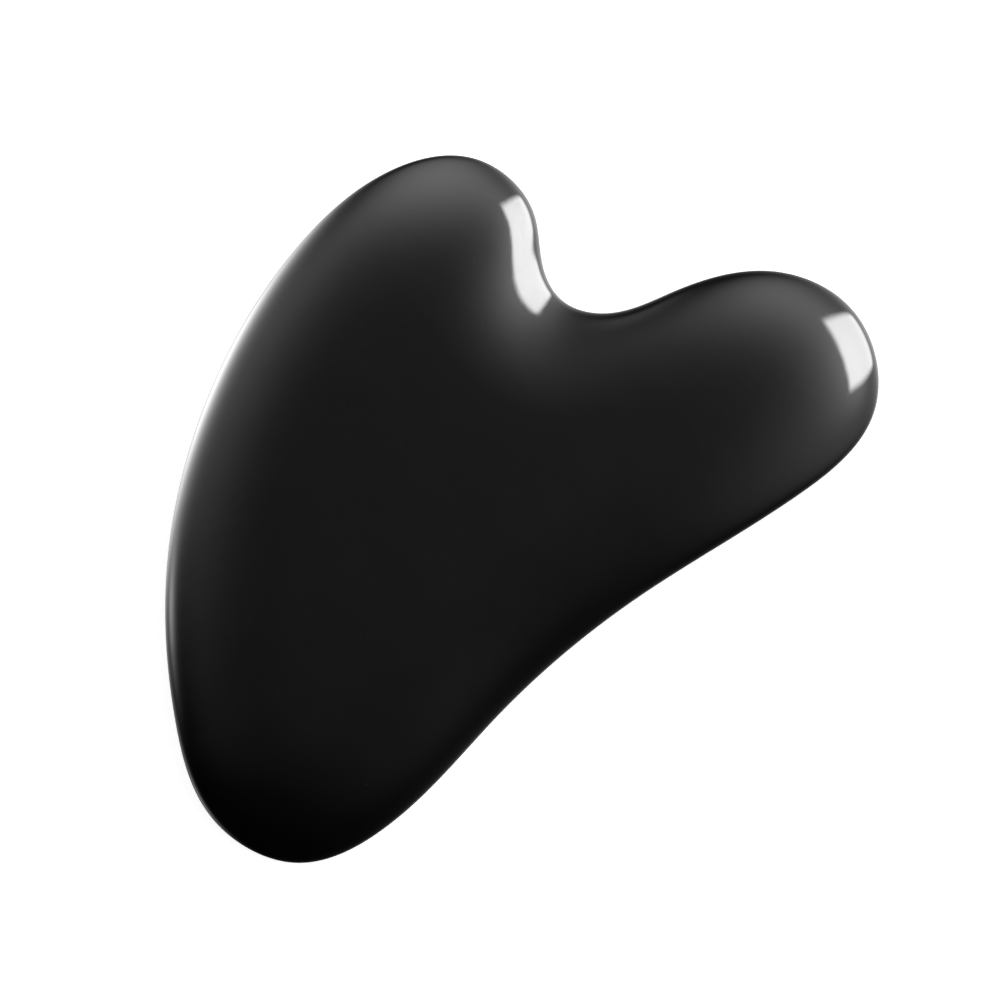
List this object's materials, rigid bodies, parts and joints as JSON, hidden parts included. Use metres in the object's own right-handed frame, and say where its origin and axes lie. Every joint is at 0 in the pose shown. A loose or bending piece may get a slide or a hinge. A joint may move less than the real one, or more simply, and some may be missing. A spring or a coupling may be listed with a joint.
{
  "type": "gua sha scraper",
  "caption": "Hand-held massage board of polished black stone, a lopsided heart with a rounded notch, a broad tail lobe, a slim heel lobe and a smooth rounded rim all round.",
  "frame": {"origin": "on the back flat, under the middle of the board's bounding box", "axes": "+X along the length from the tail lobe to the heel lobe, +Y across the board from the long pressing edge to the back and the crown lobe, +Z through the thickness from the back flat to the front flat"},
  "size_m": [0.0818, 0.052, 0.007],
  "materials": {
    "black_stone": "polished, glossy near-black stone"
  },
  "bodies": {
    "root": {"stone_board": "black_stone"}
  },
  "joints": []
}
